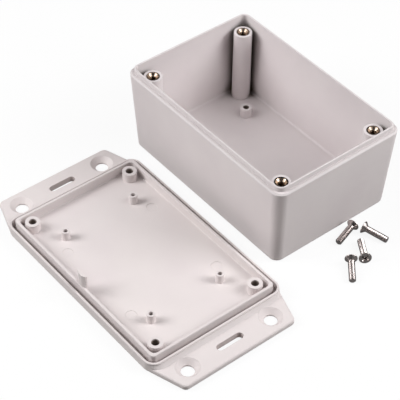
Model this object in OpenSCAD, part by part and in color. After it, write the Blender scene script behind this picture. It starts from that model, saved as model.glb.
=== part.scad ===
// Moulded ABS enclosure with a flanged lid, laid out open.
// The box stands on its underside, open side up. The lid lies beside it with
// its inner face up, and its four countersunk screws lie loose on the surface.
// Lengths are in millimetres. The origin is the centre of the box's underside,
// X runs along the long side and Z is up.

/* [Enclosure] */
// Length of box and lid over the outer walls at the rim
length = 120; // [100:1:160]
// Width of box and lid over the outer walls at the rim
width = 80; // [70:1:120]
// Height of the box from its underside to the ledge that the lid sits on
box_height = 48.8; // [30:0.2:80]
// Corner radius of box and lid in plan at the rim
corner_radius = 6; // [5.5:0.5:8]
// Distance of each lid screw from the two outer walls next to it
screw_inset = 10; // [9.6:0.2:12]

/* [Box walls and rim] */
// How far each outer wall leans in from the ledge down to the underside
wall_lean = 2.7; // [1:0.1:3.2]
// Wall thickness where the wall meets the floor
wall = 1.8; // [1.5:0.1:2.2]
// Floor thickness
floor_thickness = 3.8; // [2.5:0.1:5]
// Radius of the edge round the underside
foot_radius = 2; // [1:0.1:3]
// Corner radius in plan at the underside
foot_corner_radius = 5; // [4.5:0.5:6]
// Radius where the inner walls meet the floor
floor_fillet = 1.2; // [0.4:0.1:1.6]
// Width of the ledge round the rim
ledge_width = 2.1; // [1.8:0.1:2.4]
// Bevel on the outer edge of the ledge
ledge_bevel = 0.8; // [0.2:0.1:1.2]
// Thickness of the tongue that stands inside the ledge
tongue_thickness = 1; // [0.8:0.1:1.4]
// Height of the tongue above the ledge
tongue_height = 2.6; // [1.5:0.1:2.8]

/* [Corner pillars and inserts] */
// Depth of the pillar tops below the ledge
pillar_drop = 2.3; // [1.6:0.1:3]
// Plastic round each insert
pillar_wall = 1.4; // [1:0.1:1.6]
// Growth of the pillar radius from its top to the floor
pillar_flare = 0.2; // [0:0.1:0.4]
// Outer diameter of the brass inserts
insert_diameter = 7; // [6.4:0.1:7.2]
// Length of the brass inserts
insert_length = 6; // [5:0.5:9]
// Play between an insert and its pocket, on the radius
insert_play = 0.02; // [0.01:0.01:0.05]
// Width of the cone at the mouth of an insert, on the radius
insert_mouth = 1.35; // [0.4:0.05:1.5]
// Depth of the two knurled bands' grooves
knurl_depth = 0.3; // [0.1:0.05:0.4]
// Flutes round each knurled band
knurl_flutes = 16; // [8:1:20]
// Depth of the free hole under each insert
core_depth = 4; // [2:0.5:8]

/* [Screws] */
// Nominal thread diameter of inserts and screws
thread_diameter = 3.5; // [3:0.5:4]
// Thread pitch of inserts and screws
thread_pitch = 0.6; // [0.5:0.05:0.7]
// Overall length of the lid screws
screw_length = 14; // [12:0.5:16]
// Diameter of the screw heads
head_diameter = 6.5; // [6.2:0.1:7.4]
// Height of the upright rim round a screw head
head_rim = 0.35; // [0.2:0.05:0.5]
// Bevel at the tip of a screw
tip_bevel = 0.45; // [0.2:0.05:0.6]
// Width of one arm of the cross recess
recess_width = 0.95; // [0.7:0.05:1.1]
// Span of the cross recess at the head's face
recess_span = 3.9; // [3.2:0.1:4.2]
// Depth of the cross recess
recess_depth = 1.8; // [1.2:0.1:2]

/* [Lid] */
// Height of the lid from its outer face to the top of the lip
lid_height = 6.2; // [5.4:0.1:7.5]
// Thickness of the lid's plate
lid_floor = 3; // [2.8:0.1:3.2]
// Thickness of the lid's plate under the groove between lip and ridge
groove_floor = 2; // [1.6:0.1:2.8]
// Radius of the edge round the outer face
lid_edge_radius = 1.3; // [0.4:0.1:1.6]
// Width of the lip that sits on the box's ledge
lip_width = 1.1; // [0.9:0.1:1.3]
// Gap between the box's tongue and the lid's ridge
ridge_gap = 0.15; // [0.1:0.05:0.5]
// Thickness of the ridge
ridge_thickness = 1.5; // [1:0.1:1.8]
// Height of the ridge above the lip
ridge_rise = 2.2; // [1.4:0.1:2.6]
// Corner radius of the ridge's outer face in plan
ridge_corner_radius = 2.2; // [2:0.1:2.6]
// Corner radius of the ridge's inner face in plan
tray_corner_radius = 2.6; // [0.8:0.1:3]
// Radius where the ridge meets the plate
tray_fillet = 0.6; // [0.2:0.1:0.7]
// Plastic round each screw hole
boss_wall = 1.8; // [1.4:0.1:2.2]
// Play of a screw in its hole, on the diameter
screw_play = 0.5; // [0.3:0.05:0.7]
// Gap between lid bosses and pillars when the lid is on
boss_gap = 0.3; // [0.1:0.1:0.6]
// Play round a screw head in its countersink, on the radius
head_play = 0.25; // [0.1:0.05:0.4]

/* [Lid key] */
// Width of the upright key on the ridge
key_width = 6.2; // [4:0.1:9]
// Width of the flat middle of the key's outer face
key_face = 2.2; // [1:0.1:3]
// Thickness of the key
key_thickness = 1.9; // [1.5:0.1:2.4]
// Depth of the bevels beside the key's flat face
key_bevel = 0.9; // [0.3:0.1:1.2]
// Distance of the key's face behind the ridge's outer face
key_setback = 0.3; // [0.2:0.1:0.6]
// Height of the key above the ridge
key_rise = 7.6; // [4:0.1:10]

/* [Circuit board posts] */
// Post spacing along the length, in box and lid
board_pitch_x = 69.4; // [50:0.1:74]
// Post spacing along the width, in box and lid
board_pitch_y = 41.7; // [30:0.1:44]
// Screw hole in each box post
box_post_bore = 3.3; // [2.5:0.1:3.6]
// Plastic round the hole of a box post
box_post_wall = 1.5; // [1:0.1:2]
// Height of the box posts above the floor
box_post_height = 5.6; // [3:0.1:10]
// Screw hole in each lid post
lid_post_bore = 2.3; // [1.8:0.1:2.6]
// Plastic round the hole of a lid post
lid_post_wall = 1; // [0.8:0.1:1.4]
// Height of the lid posts above the plate
lid_post_height = 5.2; // [3:0.1:7]
// Depth of the screw holes in all board posts
post_bore_depth = 4.6; // [2.6:0.1:5]

/* [Mounting flanges] */
// How far each flange reaches past the end of the lid
flange_reach = 16.5; // [15:0.5:22]
// Thickness of the flanges
flange_thickness = 3.4; // [2.8:0.1:4]
// Height of the slope where the flanges leave the lid, from the outer face up
root_height = 5; // [4:0.1:5.4]
// How far that slope reaches out over the flanges
root_reach = 1.8; // [0.8:0.1:2.4]
// Width of a flange across its outer end
flange_end_width = 67.5; // [62:0.5:70]
// Corner radius at the outer end of a flange
flange_corner_radius = 3; // [2:0.5:5]
// Radius of the edge round the inner face of the flanges
flange_edge_radius = 1; // [0.4:0.1:1.4]
// Distance from a flange's end to the centre line of its holes and slot
flange_hole_inset = 8.8; // [7.5:0.1:9.4]
// Spacing of the two holes of one flange
flange_hole_pitch = 50; // [44:0.5:52]
// Diameter of the flange holes
flange_hole_diameter = 6.7; // [5:0.1:7]
// Diameter of the countersinks over the flange holes
flange_sink_diameter = 12; // [9:0.1:12.4]
// Length of a flange's slot from end to end
slot_length = 15.3; // [10:0.1:20]
// Width of a flange's slot
slot_width = 3.9; // [3:0.1:5]

/* [Layout] */
// Gap between the box's rim and the lid lying beside it, seen from above
lid_gap = 8; // [4:0.5:30]
// How far the lid lies to the right of the box's centre
lid_shift = 16; // [0:0.5:30]
// Distance from the box's end wall to the middle of the loose screws
screws_gap = 14.95; // [14.9:0.01:60]
// Distance of that middle from the box's centre line
screws_shift = 2.07; // [-20:0.01:20]

/* [Hidden] */

plastic = "#d0c8c6";
brass = "#b3904e";
steel = "#b9b7b5";

// Reach of a cut past the face it opens, and of a foot into its floor
overrun = 0.2;
// Small bevel on the free edges of tongue, lip and ridge
edge_break = 0.25;
// Spacing, diameter and depth of the ejector marks on the lid's plate
ejector_pitch = 52;
ejector_diameter = 5.6;
ejector_depth = 0.2;
// Facets round a corner of the moulded shells
corner_facets = 48;
$fn = 64;

half_length = length / 2;
half_width = width / 2;

// Rim: ledge outside, tongue inside, opening within
rim_wall = ledge_width + tongue_thickness;
rim_top = box_height + tongue_height;
floor_lean = wall_lean * (1 - floor_thickness / box_height);
floor_inset = floor_lean + wall;
foot_edge = min(foot_radius, foot_corner_radius);
floor_corner_radius = foot_corner_radius - wall;
mouth_corner_radius = corner_radius - rim_wall;
cavity_fillet = min(floor_fillet, floor_corner_radius);

// Lid screws, one at each corner
screw_x = half_length - screw_inset;
screw_y = half_width - screw_inset;
pillar_top = box_height - pillar_drop;
pillar_radius = insert_diameter / 2 + pillar_wall;
pocket_radius = insert_diameter / 2 + insert_play;
clear_radius = (thread_diameter + screw_play) / 2;
thread_root_share = 1.0825;
bore_radius = (thread_diameter - thread_root_share * thread_pitch) / 2;
mouth_radius = bore_radius + insert_mouth;

// Insert bands, as shares of the insert's length
band_starts_share = [0.08, 0.56];
band_length_share = 0.36;
flute_radius_share = 1.2;

// Lid levels, from the outer face up
ridge_inset = rim_wall + ridge_gap;
ridge_top = lid_height + ridge_rise;
tray_inset = ridge_inset + ridge_thickness;
tray_foot = min(tray_fillet, tray_corner_radius);
boss_radius = clear_radius + boss_wall;
boss_top = lid_height + pillar_drop - boss_gap;
sink_radius = head_diameter / 2 + head_play;
key_front = half_width - ridge_inset - key_setback;

// Flanges
flange_end = half_length + flange_reach;
flange_hole_x = flange_end - flange_hole_inset;
flange_corner_x = flange_end - flange_corner_radius;
flange_corner_y = flange_end_width / 2 - flange_corner_radius;
// Share of the slope's reach by which its ends stay inside the flanges' sides
root_taper_share = 0.4;

// Screws: a lying screw rests on its head rim and its tip
head_radius = head_diameter / 2;
shank_radius = thread_diameter / 2;
head_height = head_rim + head_radius - shank_radius;
screw_tilt = atan((head_radius - shank_radius) / (screw_length - tip_bevel - head_rim));
screw_rest = head_rim * sin(screw_tilt) + head_radius * cos(screw_tilt);
// Middle of each lying screw from the middle of all four, as shares of a screw's length
screw_x_shares = [-0.763, -0.1045, 0.192, 0.6755];
screw_y_shares = [0.0629, 0.8971, 0.01, -0.97];
screw_headings = [-74.8, 17.7, 146.1, -39.4];
screw_rolls = [20, 50, 35, 10];

corners = [[-1, -1], [1, -1], [1, 1], [-1, 1]];

// Copies its child to four mirrored places
module at_four(x, y) {
  for (c = corners)
    translate([c[0] * x, c[1] * y, 0])
      children();
}

// Post with a rounded foot and a head that is bevelled, or rounded in more steps,
// for the corner of a shell
module corner_post(radius, height, foot, head, head_steps = 1) {
  arc_steps = 4;
  rotate_extrude($fn = corner_facets)
    polygon(concat(
      [[0, 0]],
      [for (i = [0:arc_steps])
        [radius - foot + foot * sin(90 * i / arc_steps),
         foot - foot * cos(90 * i / arc_steps)]],
      [for (i = [0:head_steps])
        [radius - head + head * cos(90 * i / head_steps),
         height - head + head * sin(90 * i / head_steps)]],
      [[0, height]]
    ));
}

// Upright block with rounded corners in plan
module rounded_block(half_x, half_y, radius, height, foot, head) {
  hull()
    at_four(half_x - radius, half_y - radius)
      corner_post(radius, height, foot, head);
}

// Widening cut for the bevel round the mouth of an opening
module mouth_bevel(half_x, half_y, radius, bevel) {
  hull()
    at_four(half_x - radius, half_y - radius)
      cylinder(h = bevel + overrun, r1 = radius, r2 = radius + bevel + overrun,
               $fn = corner_facets);
}

// Plan of a rectangle with rounded corners
module rounded_area(half_x, half_y, radius) {
  square([2 * (half_x - radius), 2 * half_y], center = true);
  square([2 * half_x, 2 * (half_y - radius)], center = true);
  at_four(half_x - radius, half_y - radius)
    circle(r = radius);
}

// Outer form of the box up to the ledge
module box_shell() {
  hull() {
    at_four(half_length - wall_lean - foot_corner_radius,
            half_width - wall_lean - foot_corner_radius)
      corner_post(foot_corner_radius, foot_edge, foot_edge, 0);
    translate([0, 0, box_height - ledge_bevel])
      at_four(half_length - corner_radius, half_width - corner_radius)
        corner_post(corner_radius, ledge_bevel, 0, ledge_bevel);
  }
}

// Space inside the box
module box_cavity() {
  hull() {
    translate([0, 0, floor_thickness])
      at_four(half_length - floor_inset - floor_corner_radius,
              half_width - floor_inset - floor_corner_radius)
        corner_post(floor_corner_radius, cavity_fillet, cavity_fillet, 0);
    translate([0, 0, rim_top])
      at_four(half_length - corner_radius, half_width - corner_radius)
        cylinder(h = overrun, r = mouth_corner_radius, $fn = corner_facets);
  }
  translate([0, 0, rim_top - edge_break])
    mouth_bevel(half_length - rim_wall, half_width - rim_wall,
                mouth_corner_radius, edge_break);
}

module box() {
  tongue_corner_radius = corner_radius - ledge_width;
  color(plastic)
    difference() {
      union() {
        difference() {
          union() {
            box_shell();
            translate([0, 0, box_height - ledge_width])
              rounded_block(half_length - ledge_width, half_width - ledge_width,
                            tongue_corner_radius, ledge_width + tongue_height,
                            0, edge_break);
          }
          box_cavity();
        }
        translate([0, 0, floor_thickness - overrun]) {
          at_four(screw_x, screw_y)
            cylinder(h = pillar_top - floor_thickness + overrun,
                     r1 = pillar_radius + pillar_flare, r2 = pillar_radius);
          at_four(board_pitch_x / 2, board_pitch_y / 2)
            cylinder(h = box_post_height + overrun,
                     r = box_post_bore / 2 + box_post_wall);
        }
      }
      at_four(screw_x, screw_y) {
        translate([0, 0, pillar_top - insert_length])
          cylinder(h = insert_length + overrun, r = pocket_radius);
        translate([0, 0, pillar_top - insert_length - core_depth])
          cylinder(h = core_depth + overrun, r = clear_radius);
      }
      at_four(board_pitch_x / 2, board_pitch_y / 2)
        translate([0, 0, floor_thickness + box_post_height - post_bore_depth])
          cylinder(h = post_bore_depth + overrun, r = box_post_bore / 2);
    }
}

// Threaded insert with two knurled bands, standing on the origin
module insert_body() {
  outer = insert_diameter / 2;
  waist = outer - knurl_depth;
  bands = [for (s = band_starts_share) s * insert_length];
  band = band_length_share * insert_length;
  difference() {
    rotate_extrude()
      polygon([
        [bore_radius, 0],
        [waist, 0],
        [waist, bands[0]],
        [outer, bands[0]],
        [outer, bands[0] + band],
        [waist, bands[0] + band],
        [waist, bands[1]],
        [outer, bands[1]],
        [outer, insert_length],
        [mouth_radius, insert_length],
        [bore_radius, insert_length - insert_mouth]
      ]);
    for (i = [0:knurl_flutes - 1], start = bands)
      rotate([0, 0, 360 * i / knurl_flutes])
        translate([outer + knurl_depth * (flute_radius_share - 1), 0, start - overrun])
          cylinder(h = band + overrun, r = knurl_depth * flute_radius_share, $fn = 16);
  }
}

module insert(i) {
  c = corners[i - 1];
  color(brass)
    translate([c[0] * screw_x, c[1] * screw_y, pillar_top - insert_length])
      insert_body();
}

// Countersunk screw, head face on the origin, tip up
module screw_body() {
  difference() {
    rotate_extrude()
      polygon([
        [0, 0],
        [head_radius, 0],
        [head_radius, head_rim],
        [shank_radius, head_height],
        [shank_radius, screw_length - tip_bevel],
        [shank_radius - tip_bevel, screw_length],
        [0, screw_length]
      ]);
    translate([0, 0, -overrun])
      intersection() {
        cylinder(h = recess_depth + overrun, r1 = recess_span / 2 + overrun,
                 r2 = recess_width / 2);
        union() {
          for (turn = [0, 90])
            rotate([0, 0, turn])
              translate([-recess_span, -recess_width / 2, 0])
                cube([2 * recess_span, recess_width, recess_depth + overrun]);
        }
      }
  }
}

module screw(i) {
  color(steel)
    translate([half_length + screws_gap + screw_x_shares[i - 1] * screw_length,
               screws_shift + screw_y_shares[i - 1] * screw_length, 0])
      rotate([0, 0, screw_headings[i - 1]])
        translate([-screw_length / 2 * cos(screw_tilt), 0, screw_rest])
          rotate([0, 90 + screw_tilt, 0])
            rotate([0, 0, screw_rolls[i - 1]])
              screw_body();
}

// Plate of the lid with both flanges, up to the flanges' inner face
module flange_plate() {
  edge_steps = 3;
  hull() {
    at_four(half_length - corner_radius, half_width - corner_radius)
      corner_post(corner_radius, flange_thickness, lid_edge_radius,
                  flange_edge_radius, edge_steps);
    at_four(flange_corner_x, flange_corner_y)
      corner_post(flange_corner_radius, flange_thickness, lid_edge_radius,
                  flange_edge_radius, edge_steps);
  }
}

// Slope between the lid's end walls and the flanges
module flange_roots() {
  hull() {
    at_four(half_length - corner_radius, half_width - corner_radius)
      corner_post(corner_radius, root_height, lid_edge_radius, 0);
    at_four(half_length - corner_radius + root_reach,
            half_width - corner_radius - root_taper_share * root_reach)
      corner_post(corner_radius, flange_thickness, lid_edge_radius, 0);
  }
}

// Plate, flanges, lip, groove and ridge
module lid_shell() {
  difference() {
    union() {
      difference() {
        union() {
          rounded_block(half_length, half_width, corner_radius, lid_height,
                        lid_edge_radius, edge_break);
          flange_plate();
          flange_roots();
        }
        translate([0, 0, groove_floor])
          linear_extrude(lid_height)
            rounded_area(half_length - lip_width, half_width - lip_width,
                         corner_radius - lip_width);
      }
      translate([0, 0, groove_floor - overrun])
        rounded_block(half_length - ridge_inset, half_width - ridge_inset,
                      ridge_corner_radius, ridge_top - groove_floor + overrun,
                      0, edge_break);
    }
    translate([0, 0, lid_floor])
      rounded_block(half_length - tray_inset, half_width - tray_inset,
                    tray_corner_radius, ridge_top - lid_floor + overrun,
                    tray_foot, 0);
    translate([0, 0, ridge_top - edge_break])
      mouth_bevel(half_length - tray_inset, half_width - tray_inset,
                  tray_corner_radius, edge_break);
    translate([0, 0, lid_floor - ejector_depth])
      at_four(ejector_pitch / 2, ejector_pitch / 2)
        cylinder(h = ejector_depth + overrun, r = ejector_diameter / 2);
  }
}

// Upright key that stands on the plate against the ridge
module lid_key() {
  back = key_front - key_thickness;
  flank = key_front - key_bevel;
  translate([0, 0, lid_floor - overrun])
    linear_extrude(ridge_top + key_rise - lid_floor + overrun)
      polygon([
        [-key_width / 2, -back],
        [-key_width / 2, -flank],
        [-key_face / 2, -key_front],
        [key_face / 2, -key_front],
        [key_width / 2, -flank],
        [key_width / 2, -back]
      ]);
}

// Round hole through a flange, countersunk from the inner face
module flange_hole() {
  hole = flange_hole_diameter / 2;
  sink = flange_sink_diameter / 2;
  translate([0, 0, -overrun])
    cylinder(h = flange_thickness + 2 * overrun, r = hole);
  translate([0, 0, flange_thickness - sink + hole])
    cylinder(h = sink - hole + overrun, r1 = hole, r2 = sink + overrun);
}

module flange_slot() {
  reach = (slot_length - slot_width) / 2;
  translate([0, 0, -overrun])
    linear_extrude(flange_thickness + 2 * overrun) {
      square([slot_width, 2 * reach], center = true);
      for (side = [-1, 1])
        translate([0, side * reach])
          circle(d = slot_width);
    }
}

module flanged_lid() {
  color(plastic)
    translate([lid_shift, -(width + lid_gap), 0])
      difference() {
        union() {
          lid_shell();
          translate([0, 0, lid_floor - overrun]) {
            at_four(screw_x, screw_y)
              cylinder(h = boss_top - lid_floor + overrun, r = boss_radius);
            at_four(board_pitch_x / 2, board_pitch_y / 2)
              cylinder(h = lid_post_height + overrun,
                       r = lid_post_bore / 2 + lid_post_wall);
          }
          lid_key();
        }
        at_four(screw_x, screw_y)
          translate([0, 0, -overrun]) {
            cylinder(h = boss_top + 2 * overrun, r = clear_radius);
            cylinder(h = sink_radius - clear_radius + overrun,
                     r1 = sink_radius + overrun, r2 = clear_radius);
          }
        at_four(board_pitch_x / 2, board_pitch_y / 2)
          translate([0, 0, lid_floor + lid_post_height - post_bore_depth])
            cylinder(h = post_bore_depth + overrun, r = lid_post_bore / 2);
        at_four(flange_hole_x, flange_hole_pitch / 2)
          flange_hole();
        for (side = [-1, 1])
          translate([side * flange_hole_x, 0, 0])
            flange_slot();
      }
}

box();
flanged_lid();
insert(1);  // insert_1
insert(2);  // insert_2
insert(3);  // insert_3
insert(4);  // insert_4
screw(1);  // screw_1
screw(2);  // screw_2
screw(3);  // screw_3
screw(4);  // screw_4
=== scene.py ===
"""Moulded ABS enclosure laid out open: box, flanged lid and four lid screws."""
import math

import bmesh
import bpy
from mathutils import Matrix, Vector


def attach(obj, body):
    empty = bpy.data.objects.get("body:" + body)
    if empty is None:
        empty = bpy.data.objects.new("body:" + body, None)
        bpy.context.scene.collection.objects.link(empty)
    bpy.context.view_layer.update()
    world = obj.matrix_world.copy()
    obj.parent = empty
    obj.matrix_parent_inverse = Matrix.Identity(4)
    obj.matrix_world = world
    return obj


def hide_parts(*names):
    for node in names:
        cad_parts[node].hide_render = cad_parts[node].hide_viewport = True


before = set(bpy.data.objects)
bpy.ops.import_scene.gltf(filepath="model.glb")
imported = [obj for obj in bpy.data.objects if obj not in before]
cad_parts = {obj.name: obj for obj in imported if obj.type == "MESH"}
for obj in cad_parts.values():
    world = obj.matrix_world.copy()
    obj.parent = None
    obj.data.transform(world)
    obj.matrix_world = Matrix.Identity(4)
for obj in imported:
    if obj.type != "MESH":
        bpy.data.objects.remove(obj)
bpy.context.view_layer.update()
MM = 0.001


def srgb(r, g, b):
    """Linear colour from 0 to 255 display values."""
    def lin(v):
        v /= 255.0
        return v / 12.92 if v <= 0.04045 else ((v + 0.055) / 1.055) ** 2.4
    return (lin(r), lin(g), lin(b), 1.0)


# ------------------------------------------------- numbers of the pieces, in mm
LID_CENTRE = (16.0, -88.0)
PILLAR_X, PILLAR_Y, PILLAR_TOP = 50.0, 30.0, 46.5

# Holes and slots whose walls get painted shade: centre, half spacing in X and Y, radius,
# height of the mouth, and how far a slot runs each way along Y
POST_HOLES = ((0.0, 0.0), 34.7, 20.85, 1.65, 9.4)
BOSS_HOLES = (LID_CENTRE, PILLAR_X, PILLAR_Y, 2.0, 8.2)
FLANGE_SLOTS = (LID_CENTRE, 67.7, 0.0, 1.95, 4.2, 5.7)
# The painted shade ends over these ranges, from the hole's radius and from its mouth
HOLE_EDGE, HOLE_MOUTH = (-0.02, 0.12), (-1.1, -0.1)
# Painted shade colours for the walls of holes and of slots
HOLE_PAINTED_SHADE, SLOT_PAINTED_SHADE = srgb(118, 104, 94), srgb(203, 192, 190)

# Inserts: radii over which the bore's looks end, heights from the pillar's top over
# which its painted shade ends, and spacing and relative height of the turning marks
INSERT_BORE, INSERT_PAINTED_SHADE = (1.5, 1.7), (-2.4, -0.6)
MARK_PITCH, MARK_HEIGHT = 0.16, 0.05

# Screws
THREAD_D, PITCH = 3.5, 0.6
SCREW_L, HEAD_D, HEAD_RIM, TIP_BEVEL = 14.0, 6.5, 0.35, 0.45
THREAD_DEPTH = 0.3 * PITCH
# Share of the thread's rise that stays at the root, and share that slopes
ROOT_FLAT, FLANK = 0.08, 0.8
# The thread starts this far from the cone, rises over the second length, and leaves
# the third free at the tip; the neck before it is thinner than the shank
THREAD_START, THREAD_RISE, THREAD_END, NECK = 0.35, 0.5, 0.05, 0.06
# Cross recess: half width and half span of an arm, depth, half span at the floor,
# and radius of the ring around it
ARM, SPAN, DEPTH, CORE, RECESS_RING = 0.475, 1.95, 1.6, 0.85, 2.05
# Points of a ring, rings to a turn of the thread, and ring points on each side of an
# arm's axis that the arm's end is joined to
RING_POINTS, RINGS_A_TURN, ARM_POINTS = 48, 8, 4
# Edges sharper than this, in degrees, are drawn sharp, and points nearer are merged
SHARP_ANGLE, MERGE_DISTANCE = 38, 1e-5
# Middle of the screw's length in X and Y, heading and roll in degrees
SCREWS = (
    (64.268, 2.951, -74.8, 20),
    (73.487, 14.629, 17.7, 50),
    (77.638, 2.21, 146.1, 35),
    (84.407, -11.51, -39.4, 10),
)

# ------------------------------------- numbers of floor, lights and camera, in m
MIDDLE_X, MIDDLE_Y, AIM_HEIGHT = 0.016, -0.04, 0.01
FLOOR_SIZE, FLOOR_DROP = 6.0, 0.00002
# The floor's colour as it bounces light, as the camera sees it and as it is mirrored
FLOOR_BOUNCE, FLOOR_SEEN, FLOOR_MIRRORED = (
    (0.32, 0.31, 0.3, 1.0), (0.92, 0.92, 0.92, 1.0), (0.1, 0.1, 0.1, 1.0))
# Share of plain white that the camera and a mirroring surface see on the floor
WHITE_SEEN, WHITE_MIRRORED = 0.9, 0.07
# World strength, as it lights the pieces and as the camera sees it
WORLD_LIGHT, WORLD_SEEN = 0.02, 1.0

# Lights: name, degrees to the right of the camera, elevation, width, watts
LIGHT_DISTANCE = 0.9
LIGHTS = (
    ("left_soft", -82, 33, 0.45, 5.05),
    ("left_high", -88, 54, 0.5, 2.1),
    ("right_soft", 84, 33, 0.45, 5.25),
    ("right_high", 76, 56, 0.5, 2.2),
)

# Camera: azimuth, elevation and roll, focal length in pixels, distance and target
AZ, EL, ROLL = (math.radians(v) for v in (50.6833, 43.9595, 0.8501))
F_PIXELS, PICTURE_PIXELS, SENSOR_MM = 1508.4189, 400.0, 36.0
DISTANCE, TARGET = 0.7440401, Vector((0.0146839, -0.0507111, 0.020))
FORWARD = Vector((-math.sin(AZ) * math.cos(EL), math.cos(AZ) * math.cos(EL), -math.sin(EL)))
RIGHT = Vector((math.cos(AZ), math.sin(AZ), 0.0))
UP = RIGHT.cross(FORWARD)


# ---------------------------------------------------------------- materials
# Ranges of a noise's value that a colour or a roughness is spread over
MID_RANGE, WIDE_RANGE, HIGH_RANGE = (0.35, 0.7), (0.3, 0.7), (0.45, 0.75)


class Nodes:
    """Small helper to build a material's node tree."""

    def __init__(self, name):
        self.mat = bpy.data.materials.new(name)
        self.mat.use_nodes = True
        self.tree = self.mat.node_tree
        self.tree.nodes.clear()
        self.out = self.add("ShaderNodeOutputMaterial")

    def put(self, socket, value):
        """Links another node's output to a socket, or sets a plain value on it."""
        if isinstance(value, bpy.types.NodeSocket):
            self.tree.links.new(value, socket)
        else:
            socket.default_value = value

    def add(self, kind, props=None, **inputs):
        """A node with its properties and inputs set; _ stands for a space in a name."""
        node = self.tree.nodes.new(kind)
        for key, value in (props or {}).items():
            setattr(node, key, value)
        for key, value in inputs.items():
            self.put(node.inputs[key.replace("_", " ")], value)
        return node

    def math(self, operation, a, b=0.0):
        node = self.add("ShaderNodeMath", {"operation": operation})
        self.put(node.inputs[0], a)
        self.put(node.inputs[1], b)
        return node.outputs[0]

    def ramp(self, value, low, high, out_low=0.0, out_high=1.0):
        """Spreads low to high over out_low to out_high."""
        node = self.add("ShaderNodeMapRange", Value=value, From_Min=low, From_Max=high,
                        To_Min=out_low, To_Max=out_high)
        return node.outputs["Result"]

    def fade(self, value, low, high):
        """1 up to low, and 0 from high on."""
        return self.ramp(value, low, high, 1.0, 0.0)

    def mix(self, factor, a, b):
        node = self.add("ShaderNodeMix", {"data_type": "RGBA"})
        for index, value in ((0, factor), (6, a), (7, b)):
            self.put(node.inputs[index], value)
        return node.outputs[2]

    def noise(self, vector, scale, detail, roughness):
        node = self.add("ShaderNodeTexNoise", Vector=vector, Scale=scale, Detail=detail,
                        Roughness=roughness)
        return node.outputs[0]

    def painted_shade_holes(self, where, centre, half_x, half_y, radius, mouth, run=0.0):
        """Mask for painted shade: 1 in round holes about a centre, or with a run in slots
        along Y, 0 outside.
        """
        xyz = self.add("ShaderNodeSeparateXYZ", Vector=where).outputs
        squares = []
        for axis, half, length in ((0, half_x, 0.0), (1, half_y, run)):
            side = self.math("ABSOLUTE", self.math("SUBTRACT", xyz[axis], centre[axis] * MM))
            away = self.math("SUBTRACT", side, half * MM)
            if length:
                away = self.math("MAXIMUM", self.math("SUBTRACT", away, length * MM), 0.0)
            squares.append(self.math("MULTIPLY", away, away))
        from_axis = self.math("SQRT", self.math("ADD", *squares))
        inside = self.fade(from_axis, *((radius + edge) * MM for edge in HOLE_EDGE))
        below = self.fade(xyz[2], *((mouth + edge) * MM for edge in HOLE_MOUTH))
        return self.math("MULTIPLY", inside, below)

    def finish(self, shader):
        self.tree.links.new(shader, self.out.inputs["Surface"])
        return self.mat


def moulded_plastic(name, base, shade, warm, hollow_painted_shade, reach, dark_at, clear_at, painted_shade_holes):
    """Satin moulded ABS: fine grain, faint flow marks, softened edges, painted shade in
    hollows and holes.
    """
    n = Nodes(name)
    where = n.add("ShaderNodeTexCoord").outputs["Object"]
    grain = n.noise(where, scale=2600.0, detail=3.0, roughness=0.6)
    flow = n.noise(where, scale=34.0, detail=3.0, roughness=0.55)
    cloud = n.noise(where, scale=11.0, detail=2.0, roughness=0.5)
    colour = n.mix(n.ramp(flow, *MID_RANGE), base, shade)
    colour = n.mix(n.ramp(cloud, *HIGH_RANGE, out_high=0.5), colour, warm)
    # Painted shade: the colour turns to the hollow colour where ambient occlusion finds the
    # surface enclosed, in corners, grooves and crevices
    open_share = n.add("ShaderNodeAmbientOcclusion", {"samples": 8, "only_local": True},
                       Distance=reach * MM).outputs["AO"]
    colour = n.mix(n.fade(open_share, dark_at, clear_at), colour, hollow_painted_shade)
    # Painted shade on the walls of holes and slots
    for painted_shade_colour, hole in painted_shade_holes:
        colour = n.mix(n.painted_shade_holes(where, *hole), colour, painted_shade_colour)
    rough = n.ramp(grain, *WIDE_RANGE, out_low=0.56, out_high=0.66)
    bevel = n.add("ShaderNodeBevel", {"samples": 6}, Radius=0.28 * MM).outputs[0]
    bump = n.add("ShaderNodeBump", Strength=0.18, Distance=0.02 * MM, Height=grain,
                 Normal=bevel).outputs[0]
    shader = n.add("ShaderNodeBsdfPrincipled", Base_Color=colour, Roughness=rough,
                   Normal=bump, Specular_IOR_Level=0.32)
    return n.finish(shader.outputs[0])


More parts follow.
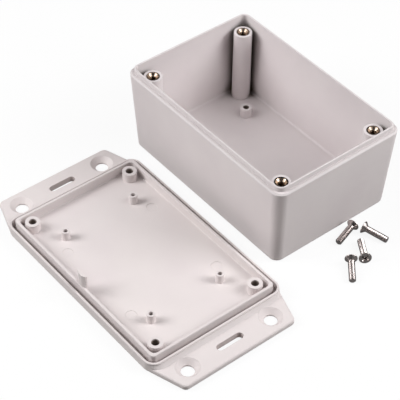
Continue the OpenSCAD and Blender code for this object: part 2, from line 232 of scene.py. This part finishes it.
def turned_brass(name, centre):
    """Turned brass with the helix of an internal thread as bump in the bore, and painted shade
    deep in the bore.
    """
    n = Nodes(name)
    where = n.add("ShaderNodeTexCoord").outputs["Object"]
    local = n.add("ShaderNodeVectorMath", {"operation": "SUBTRACT"})
    n.put(local.inputs[0], where)
    n.put(local.inputs[1], centre)
    xyz = n.add("ShaderNodeSeparateXYZ", Vector=local.outputs[0]).outputs
    radius = n.math("SQRT", n.math("ADD", *(n.math("MULTIPLY", v, v) for v in xyz[:2])))
    angle = n.math("ARCTAN2", xyz[1], xyz[0])
    turns = n.math("DIVIDE", xyz[2], PITCH * MM)
    helix = n.math("SINE", n.math("ADD", n.math("MULTIPLY", turns, 2 * math.pi), angle))
    in_bore = n.fade(radius, *(r * MM for r in INSERT_BORE))
    marks = n.math("SINE", n.math("MULTIPLY", radius, 2 * math.pi / (MARK_PITCH * MM)))
    height = n.math("ADD", n.math("MULTIPLY", helix, in_bore),
                    n.math("MULTIPLY", marks, MARK_HEIGHT))
    patina = n.noise(where, scale=420.0, detail=3.0, roughness=0.6)
    colour = n.mix(n.ramp(patina, *MID_RANGE), srgb(186, 168, 152), srgb(160, 141, 124))
    # Painted shade: darker brown deep down in the bore
    bore_painted_shade = n.fade(xyz[2], *((PILLAR_TOP + z) * MM for z in INSERT_PAINTED_SHADE))
    colour = n.mix(n.math("MULTIPLY", bore_painted_shade, in_bore), colour, srgb(84, 60, 40))
    bump = n.add("ShaderNodeBump", Strength=0.8, Distance=0.12 * MM, Height=height).outputs[0]
    rough = n.ramp(patina, *WIDE_RANGE, out_low=0.22, out_high=0.34)
    shader = n.add("ShaderNodeBsdfPrincipled", Base_Color=colour, Roughness=rough,
                   Normal=bump, Metallic=1.0)
    return n.finish(shader.outputs[0])


def plated_steel(name):
    """Bright plated steel with fine drawing lines and a faint haze."""
    n = Nodes(name)
    where = n.add("ShaderNodeTexCoord").outputs["Object"]
    haze = n.noise(where, scale=900.0, detail=4.0, roughness=0.6)
    fine = n.noise(where, scale=4200.0, detail=2.0, roughness=0.6)
    colour = n.mix(n.ramp(haze, *MID_RANGE), srgb(226, 217, 214), srgb(206, 196, 193))
    rough = n.ramp(haze, *WIDE_RANGE, out_low=0.27, out_high=0.36)
    bump = n.add("ShaderNodeBump", Strength=0.12, Distance=0.02 * MM, Height=fine).outputs[0]
    shader = n.add("ShaderNodeBsdfPrincipled", Base_Color=colour, Roughness=rough,
                   Normal=bump, Metallic=1.0)
    return n.finish(shader.outputs[0])


def give(node, material):
    """One material on every slot of a carried-over CAD node."""
    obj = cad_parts[node]
    if not obj.material_slots:
        obj.data.materials.append(material)
    for s in obj.material_slots:
        s.material = material


# The hollow and hole colours below are painted shade: dark in corners and crevices, and darker
# on the walls of holes and slots
give("box", moulded_plastic(
    "abs_box", base=srgb(227, 220, 220), shade=srgb(222, 214, 215), warm=srgb(224, 217, 216),
    hollow_painted_shade=srgb(60, 48, 12), reach=9.0, dark_at=0.12, clear_at=0.54,
    painted_shade_holes=((HOLE_PAINTED_SHADE, POST_HOLES),)))
give("flanged_lid", moulded_plastic(
    "abs_lid", base=srgb(227, 219, 218), shade=srgb(223, 214, 214), warm=srgb(225, 217, 214),
    hollow_painted_shade=srgb(112, 96, 88), reach=4.0, dark_at=0.0, clear_at=0.16,
    painted_shade_holes=((HOLE_PAINTED_SHADE, BOSS_HOLES), (SLOT_PAINTED_SHADE, FLANGE_SLOTS))))
for i, (sx, sy) in enumerate(((-1, -1), (1, -1), (1, 1), (-1, 1)), 1):
    give(f"insert_{i}", turned_brass(
        f"insert_brass_{i}", (sx * PILLAR_X * MM, sy * PILLAR_Y * MM, 0.0)))
steel = plated_steel("screw_steel")


# ------------------------------------------------------------------- screws
def ring(z, radii):
    """A ring of points at one height, from a list with the radius at each of them."""
    angles = (2 * math.pi * k / RING_POINTS for k in range(RING_POINTS))
    return [(r * math.cos(a), r * math.sin(a), z) for r, a in zip(radii, angles)]


def skin(bm, rows):
    """Joins rows of points into a skin of quads and returns the rows' vertices."""
    rings = [[bm.verts.new(p) for p in row] for row in rows]
    for a, b in zip(rings, rings[1:]):
        for k in range(RING_POINTS):
            after = (k + 1) % RING_POINTS
            bm.faces.new((a[k], a[after], b[after], b[k]))
    return rings


def head_and_thread(head_r, shank_r):
    """The screw's rings, from the rim of the recess over the head to the tip."""
    cone_end, root_r = HEAD_RIM + head_r - shank_r, shank_r - THREAD_DEPTH
    # Height and radius: the rim with its edges rounded, the cone, and the neck
    profile = (
        (0.0, RECESS_RING),
        (0.0, head_r - 0.12),
        (0.05, head_r - 0.03),
        (0.12, head_r),
        (HEAD_RIM, head_r),
        (HEAD_RIM + 0.08, head_r - 0.06),
        (cone_end, shank_r + 0.05),
        (cone_end + 0.12, shank_r - NECK),
    )
    rows = [ring(z, [r] * RING_POINTS) for z, r in profile]
    start, end = cone_end + THREAD_START, SCREW_L - THREAD_END
    steps = int((end - start) / PITCH * RINGS_A_TURN)
    for s in range(steps + 1):
        z = start + (end - start) * s / steps
        neck_share = 1.0 - min(1.0, (z - start) / THREAD_RISE)
        at_most = shank_r - max(0.0, z - (SCREW_L - TIP_BEVEL))
        radii = []
        for k in range(RING_POINTS):
            # Root at phase 0, crest at phase 0.5
            phase = (z / PITCH - k / RING_POINTS) % 1.0
            crest = 1.0 - abs(2.0 * phase - 1.0)
            crest = min(1.0, max(0.0, (crest - ROOT_FLAT) / FLANK))
            r = min(root_r + (shank_r - root_r) * crest, at_most)
            radii.append(r + (shank_r - NECK - r) * neck_share)
        rows.append(ring(z, radii))
    return rows


def cross_recess(bm, rim):
    """A recess of four arms, and the flat face from it to the ring around it."""
    # The arms narrow downwards, and their inner corners end above the floor
    corner, shoulder, tip = ARM * 0.9, DEPTH * 0.62, ARM * 0.75
    turns = [Matrix.Rotation(q * math.pi / 2, 3, "Z") for q in range(4)]
    # Where two arms meet, the last point of one and the first of the next coincide
    edge, floor = ([bm.verts.new(turn @ Vector(p)) for turn in turns for p in arm] for arm in (
        ((ARM, -ARM, 0.0), (SPAN, -ARM, 0.0), (SPAN, ARM, 0.0), (ARM, ARM, 0.0)),
        ((corner, -corner, shoulder), (CORE, -tip, DEPTH), (CORE, tip, DEPTH),
         (corner, corner, shoulder)),
    ))
    for q in range(4):
        for k in range(4 * q, 4 * q + 3):
            bm.faces.new((edge[k], floor[k], floor[k + 1], edge[k + 1]))
    bm.faces.new(floor)

    def arc(first, last):
        return [rim[k % RING_POINTS] for k in range(first, last + 1)]

    quarter = RING_POINTS // 4
    for q in range(4):
        axis, k = q * quarter, 4 * q
        bm.faces.new(arc(axis - ARM_POINTS, axis + ARM_POINTS) + [edge[k + 2], edge[k + 1]])
        bm.faces.new(arc(axis + ARM_POINTS, axis + quarter - ARM_POINTS)
                     + [edge[(k + 5) % len(edge)], edge[k + 3], edge[k + 2]])


def threaded_screw(index, x, y, heading, roll):
    """Countersunk screw with a rolled thread and a cross recess, where the CAD screw lies."""
    head_r, shank_r = HEAD_D / 2, THREAD_D / 2
    bm = bmesh.new()
    rings = skin(bm, head_and_thread(head_r, shank_r))
    bm.faces.new(rings[-1])
    cross_recess(bm, rings[0])
    bmesh.ops.remove_doubles(bm, verts=bm.verts, dist=MERGE_DISTANCE)
    bmesh.ops.recalc_face_normals(bm, faces=bm.faces)
    mesh = bpy.data.meshes.new(f"threaded_screw_{index}")
    bm.to_mesh(mesh)
    bm.free()
    for p in mesh.polygons:
        p.use_smooth = True
    # It lies on the rim of its head and on its tip
    tilt = math.atan((head_r - shank_r) / (SCREW_L - TIP_BEVEL - HEAD_RIM))
    rest = HEAD_RIM * math.sin(tilt) + head_r * math.cos(tilt)
    mesh.transform(
        Matrix.Translation((x * MM, y * MM, 0))
        @ Matrix.Rotation(math.radians(heading), 4, "Z")
        @ Matrix.Translation((-SCREW_L / 2 * math.cos(tilt) * MM, 0, rest * MM))
        @ Matrix.Rotation(math.pi / 2 + tilt, 4, "Y")
        @ Matrix.Rotation(math.radians(roll), 4, "Z")
        @ Matrix.Scale(MM, 4)
    )
    mesh.materials.append(steel)
    obj = bpy.data.objects.new(f"threaded_screw_{index}", mesh)
    bpy.context.collection.objects.link(obj)
    obj.modifiers.new("edge", "EDGE_SPLIT").split_angle = math.radians(SHARP_ANGLE)
    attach(obj, "root")
    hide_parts(f"screw_{index}")


for i, placed in enumerate(SCREWS, 1):
    threaded_screw(i, *placed)


# ------------------------------------------------------- floor, light, camera
def white_floor():
    """Pale floor that reads white to the camera and keeps a soft shadow."""
    bpy.ops.mesh.primitive_plane_add(
        size=FLOOR_SIZE, location=(MIDDLE_X, MIDDLE_Y, -FLOOR_DROP))
    floor = bpy.context.object
    floor.name = "floor"
    n = Nodes("floor_white")
    glow = n.add("ShaderNodeEmission", Color=(1.0, 1.0, 1.0, 1.0), Strength=1.0)
    path = n.add("ShaderNodeLightPath").outputs
    camera_ray = path["Is Camera Ray"]
    mirrored = n.math("MAXIMUM", path["Is Glossy Ray"], path["Is Transmission Ray"])
    colour = n.mix(camera_ray, FLOOR_BOUNCE, FLOOR_SEEN)
    colour = n.mix(mirrored, colour, FLOOR_MIRRORED)
    diffuse = n.add("ShaderNodeBsdfDiffuse", Color=colour)
    white_share = n.math("ADD", n.math("MULTIPLY", camera_ray, WHITE_SEEN),
                         n.math("MULTIPLY", mirrored, WHITE_MIRRORED))
    both = n.add("ShaderNodeMixShader")
    for socket, value in zip(both.inputs, (white_share, diffuse.outputs[0], glow.outputs[0])):
        n.put(socket, value)
    floor.data.materials.append(n.finish(both.outputs[0]))


def soft_light(name, side, elevation, width, watts):
    """Square light, aimed at the pieces from a side of the camera and a height."""
    s, e = math.radians(side), math.radians(elevation)
    to_camera = Vector((math.sin(AZ), -math.cos(AZ), 0.0))
    flat = to_camera * math.cos(s) + RIGHT * math.sin(s)
    direction = (flat * math.cos(e) + Vector((0, 0, math.sin(e)))).normalized()
    light = bpy.data.lights.new(name, "AREA")
    light.shape, light.size, light.energy = "SQUARE", width, watts
    obj = bpy.data.objects.new(name, light)
    bpy.context.collection.objects.link(obj)
    obj.location = Vector((MIDDLE_X, MIDDLE_Y, AIM_HEIGHT)) + direction * LIGHT_DISTANCE
    obj.rotation_euler = direction.to_track_quat("Z", "Y").to_euler()


def white_world():
    """World that reads white to the camera and lights the pieces very little."""
    world = bpy.data.worlds.new("studio")
    bpy.context.scene.world = world
    world.use_nodes = True
    tree = world.node_tree
    tree.nodes.clear()
    out = tree.nodes.new("ShaderNodeOutputWorld")
    both = tree.nodes.new("ShaderNodeMixShader")
    path = tree.nodes.new("ShaderNodeLightPath")
    tree.links.new(path.outputs["Is Camera Ray"], both.inputs[0])
    for socket, strength in zip(both.inputs[1:], (WORLD_LIGHT, WORLD_SEEN)):
        background = tree.nodes.new("ShaderNodeBackground")
        background.inputs["Color"].default_value = (1, 1, 1, 1)
        background.inputs["Strength"].default_value = strength
        tree.links.new(background.outputs[0], socket)
    tree.links.new(both.outputs[0], out.inputs["Surface"])


def camera():
    """Camera of the main view."""
    data = bpy.data.cameras.new("camera")
    data.sensor_width = SENSOR_MM
    data.lens = SENSOR_MM * F_PIXELS / PICTURE_PIXELS
    data.clip_start, data.clip_end = 0.01, 20.0
    obj = bpy.data.objects.new("camera", data)
    bpy.context.collection.objects.link(obj)
    x = RIGHT * math.cos(ROLL) + UP * math.sin(ROLL)
    y = UP * math.cos(ROLL) - RIGHT * math.sin(ROLL)
    m = Matrix((x, y, -FORWARD)).transposed().to_4x4()
    m.translation = TARGET - FORWARD * DISTANCE
    obj.matrix_world = m
    bpy.context.scene.camera = obj


white_floor()
for row in LIGHTS:
    soft_light(*row)
white_world()
camera()
bpy.context.scene.view_settings.view_transform = "Standard"
